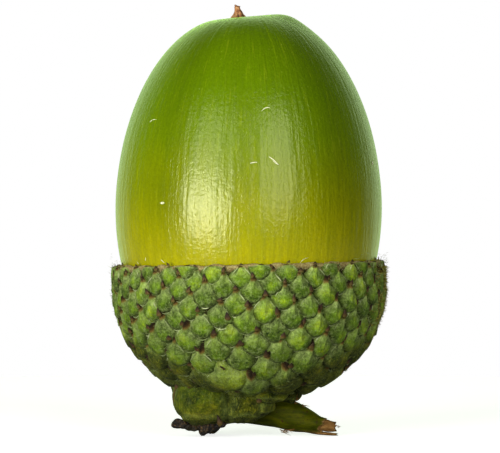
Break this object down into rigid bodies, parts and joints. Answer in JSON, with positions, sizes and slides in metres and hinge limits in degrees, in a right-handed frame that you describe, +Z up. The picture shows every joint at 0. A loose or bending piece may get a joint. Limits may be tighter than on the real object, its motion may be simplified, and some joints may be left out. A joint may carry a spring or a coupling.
{
  "type": "acorn",
  "caption": "Fresh green acorn: a smooth egg-shaped nut seated in a scaly cup, standing on its short torn stalk.",
  "frame": {"origin": "on the surface the acorn stands on, under the axis of the cup", "axes": "+Z up along the nut to its tip, +X towards the torn end of the stalk, -Y towards the front"},
  "size_m": [0.02, 0.02, 0.0312],
  "materials": {
    "nut_skin": "smooth waxy skin, dark green at the top and yellow near the cup, with fine vertical streaks",
    "dry_flower": "dry brown flower remains, matt and crumbly",
    "cup_scales": "green scales under fine pale down, with dark brown tips",
    "stalk_bark": "green bark, satin, torn to brown wood at its end and underside",
    "withered_bud": "withered nearly black flower buds, matt"
  },
  "bodies": {
    "root": {"nut": "nut_skin", "flower_remains": "dry_flower", "cup": "cup_scales", "stalk": "stalk_bark", "withered_end": "withered_bud"}
  },
  "joints": []
}
